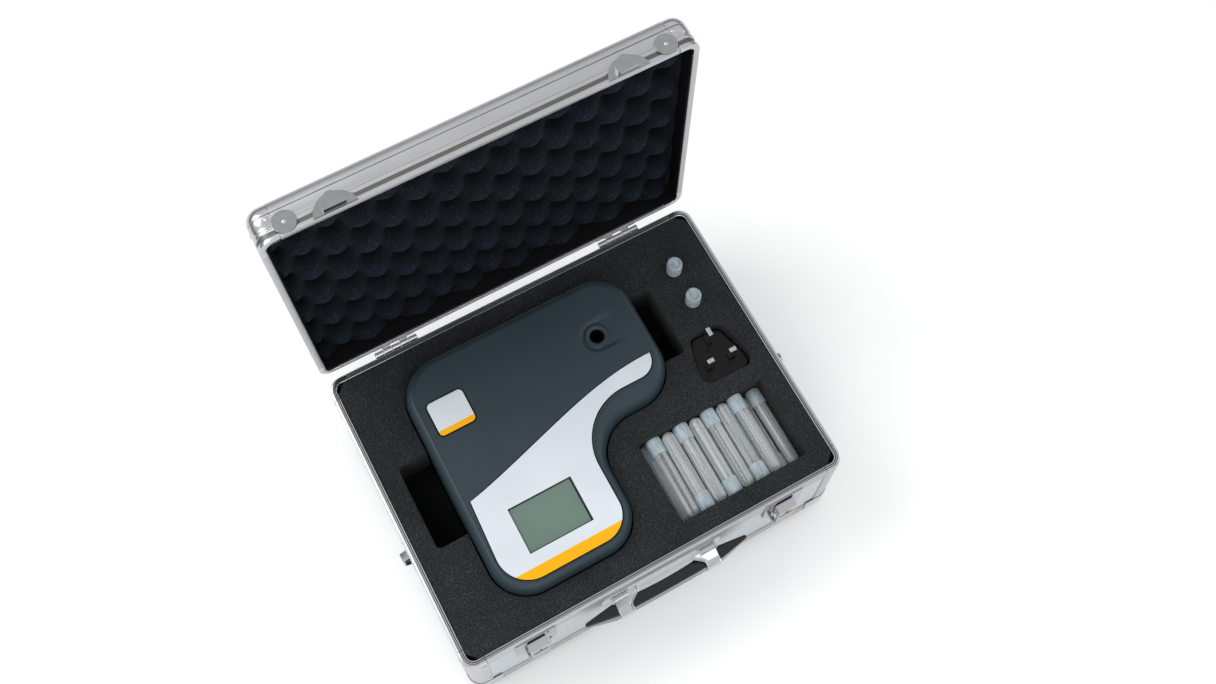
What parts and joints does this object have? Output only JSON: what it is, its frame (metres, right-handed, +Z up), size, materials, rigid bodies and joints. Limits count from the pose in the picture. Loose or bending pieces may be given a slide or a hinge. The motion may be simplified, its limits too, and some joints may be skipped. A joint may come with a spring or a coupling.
{
  "type": "cased ferrous wear meter kit",
  "caption": "Aluminium carry case, lid open, with cut foam that holds a ferrous wear meter with a sample well, capped sample tubes and a plug head.",
  "frame": {"origin": "under the middle of the whole object, on the surface it stands on, with the lid open", "axes": "+Z up, +Y from the handle towards the hinges, +X to the right seen from the handle side"},
  "size_m": [0.369, 0.329, 0.395],
  "materials": {
    "aluminium_rail": "satin anodised",
    "rail_corner": "bright rolled",
    "wall_board": "fine matt sheet",
    "chrome_fitting": "polished plate",
    "latch_satin": "satin plate, ribbed thumb face",
    "rivet_steel": "bright steel",
    "case_foam": "charcoal cut foam",
    "lid_foam": "black convoluted foam",
    "black_grip": "gloss moulded",
    "meter_housing": "fine matt moulded",
    "meter_label": "smooth printed film",
    "clear_window": "clear",
    "lcd_panel": "grey green liquid crystal",
    "well_lining": "dark matt",
    "copper_coil": "enamelled wire",
    "circuit_board": "solder mask",
    "clear_tube": "clear moulded",
    "tube_cap": "translucent moulded",
    "plug_black": "gloss moulded",
    "pin_metal": "nickel plate"
  },
  "bodies": {
    "case": {"base_bottom_panel": "wall_board", "base_wall_panels": "wall_board", "base_rim_rails": "aluminium_rail", "base_rim_corners": "rail_corner", "base_edge_rails": "aluminium_rail", "base_corner_balls": "chrome_fitting", "base_rivets": "rivet_steel", "foam_floor": "case_foam", "foam_insert": "case_foam", "handle_mount": "chrome_fitting", "hinge_base_leaves": "chrome_fitting", "hinge_pins": "rivet_steel", "latch_plates": "chrome_fitting", "strap_brackets": "chrome_fitting", "lower_tubes": "clear_tube", "lower_caps": "tube_cap"},
    "lid": {"lid_roof_panel": "wall_board", "lid_side_rails": "aluminium_rail", "lid_corners": "rail_corner", "lid_foam": "lid_foam", "lid_corner_clips": "chrome_fitting", "lid_rivets": "rivet_steel", "latch_keepers": "chrome_fitting", "hinge_lid_leaves": "chrome_fitting"},
    "handle": {"handle_links": "chrome_fitting", "handle_grip": "black_grip"},
    "latch_lever_left": {"latch_lever_left": "latch_satin"},
    "latch_lever_right": {"latch_lever_right": "latch_satin"},
    "latch_claw_left": {"latch_claw_left": "rivet_steel"},
    "latch_claw_right": {"latch_claw_right": "rivet_steel"},
    "meter": {"meter_top_housing": "meter_housing", "meter_bottom_housing": "meter_housing", "meter_fascia": "meter_label", "meter_badge": "meter_label", "meter_window": "clear_window", "meter_display": "lcd_panel", "meter_well_sleeve": "well_lining", "meter_sensor_coil": "copper_coil", "meter_circuit_board": "circuit_board", "meter_screws": "rivet_steel"},
    "plug_head": {"plug_body": "plug_black", "plug_pins": "pin_metal"},
    "sample_tube_1": {"sample_tube_1": "clear_tube", "sample_cap_1": "tube_cap"},
    "sample_tube_2": {"sample_tube_2": "clear_tube", "sample_cap_2": "tube_cap"},
    "sample_tube_3": {"sample_tube_3": "clear_tube", "sample_cap_3": "tube_cap"},
    "sample_tube_4": {"sample_tube_4": "clear_tube", "sample_cap_4": "tube_cap"},
    "sample_tube_5": {"sample_tube_5": "clear_tube", "sample_cap_5": "tube_cap"},
    "sample_tube_6": {"sample_tube_6": "clear_tube", "sample_cap_6": "tube_cap"},
    "sample_tube_7": {"sample_tube_7": "clear_tube", "sample_cap_7": "tube_cap"},
    "upright_tube_1": {"upright_tube_1": "clear_tube"},
    "upright_cap_1": {"upright_cap_1": "tube_cap"},
    "upright_tube_2": {"upright_tube_2": "clear_tube"},
    "upright_cap_2": {"upright_cap_2": "tube_cap"}
  },
  "joints": [
    {"name": "lid_hinge", "type": "hinge", "parent": "case", "child": "lid", "pos_m": [0, 0.1285, 0.114], "axis": [-1, 0, 0], "range_deg": [-90, 0], "deforming": ["lid_foam"]},
    {"name": "handle_swing", "type": "hinge", "parent": "case", "child": "handle", "pos_m": [0, -0.1505, 0.099], "axis": [-1, 0, 0], "range_deg": [0, 90]},
    {"name": "latch_lever_left_swing", "type": "hinge", "parent": "case", "child": "latch_lever_left", "pos_m": [-0.117, -0.1511, 0.07], "axis": [1, 0, 0], "range_deg": [0, 100]},
    {"name": "latch_claw_left_slide", "type": "slide", "parent": "case", "child": "latch_claw_left", "axis": [0, 0, 1], "range_m": [0, 0.006]},
    {"name": "latch_lever_right_swing", "type": "hinge", "parent": "case", "child": "latch_lever_right", "pos_m": [0.117, -0.1511, 0.07], "axis": [1, 0, 0], "range_deg": [0, 100]},
    {"name": "latch_claw_right_slide", "type": "slide", "parent": "case", "child": "latch_claw_right", "axis": [0, 0, 1], "range_m": [0, 0.006]},
    {"name": "meter_lift", "type": "slide", "parent": "case", "child": "meter", "axis": [0, 0, 1], "range_m": [0, 0.09]},
    {"name": "plug_head_lift", "type": "slide", "parent": "case", "child": "plug_head", "axis": [0, 0, 1], "range_m": [0, 0.03]},
    {"name": "sample_tube_1_lift", "type": "slide", "parent": "case", "child": "sample_tube_1", "axis": [0, 0, 1], "range_m": [0, 0.05]},
    {"name": "sample_tube_2_lift", "type": "slide", "parent": "case", "child": "sample_tube_2", "axis": [0, 0, 1], "range_m": [0, 0.05]},
    {"name": "sample_tube_3_lift", "type": "slide", "parent": "case", "child": "sample_tube_3", "axis": [0, 0, 1], "range_m": [0, 0.05]},
    {"name": "sample_tube_4_lift", "type": "slide", "parent": "case", "child": "sample_tube_4", "axis": [0, 0, 1], "range_m": [0, 0.05]},
    {"name": "sample_tube_5_lift", "type": "slide", "parent": "case", "child": "sample_tube_5", "axis": [0, 0, 1], "range_m": [0, 0.05]},
    {"name": "sample_tube_6_lift", "type": "slide", "parent": "case", "child": "sample_tube_6", "axis": [0, 0, 1], "range_m": [0, 0.05]},
    {"name": "sample_tube_7_lift", "type": "slide", "parent": "case", "child": "sample_tube_7", "axis": [0, 0, 1], "range_m": [0, 0.05]},
    {"name": "upright_tube_1_lift", "type": "slide", "parent": "case", "child": "upright_tube_1", "axis": [0, 0, 1], "range_m": [0, 0.08]},
    {"name": "upright_cap_1_pull", "type": "slide", "parent": "upright_tube_1", "child": "upright_cap_1", "axis": [0, 0, 1], "range_m": [0, 0.02]},
    {"name": "upright_tube_2_lift", "type": "slide", "parent": "case", "child": "upright_tube_2", "axis": [0, 0, 1], "range_m": [0, 0.08]},
    {"name": "upright_cap_2_pull", "type": "slide", "parent": "upright_tube_2", "child": "upright_cap_2", "axis": [0, 0, 1], "range_m": [0, 0.02]}
  ],
  "couplings": [
    {"joint": "latch_claw_left_slide", "follows": "latch_lever_left_swing", "m_per_rad": 0.00343},
    {"joint": "latch_claw_right_slide", "follows": "latch_lever_right_swing", "m_per_rad": 0.00343}
  ]
}
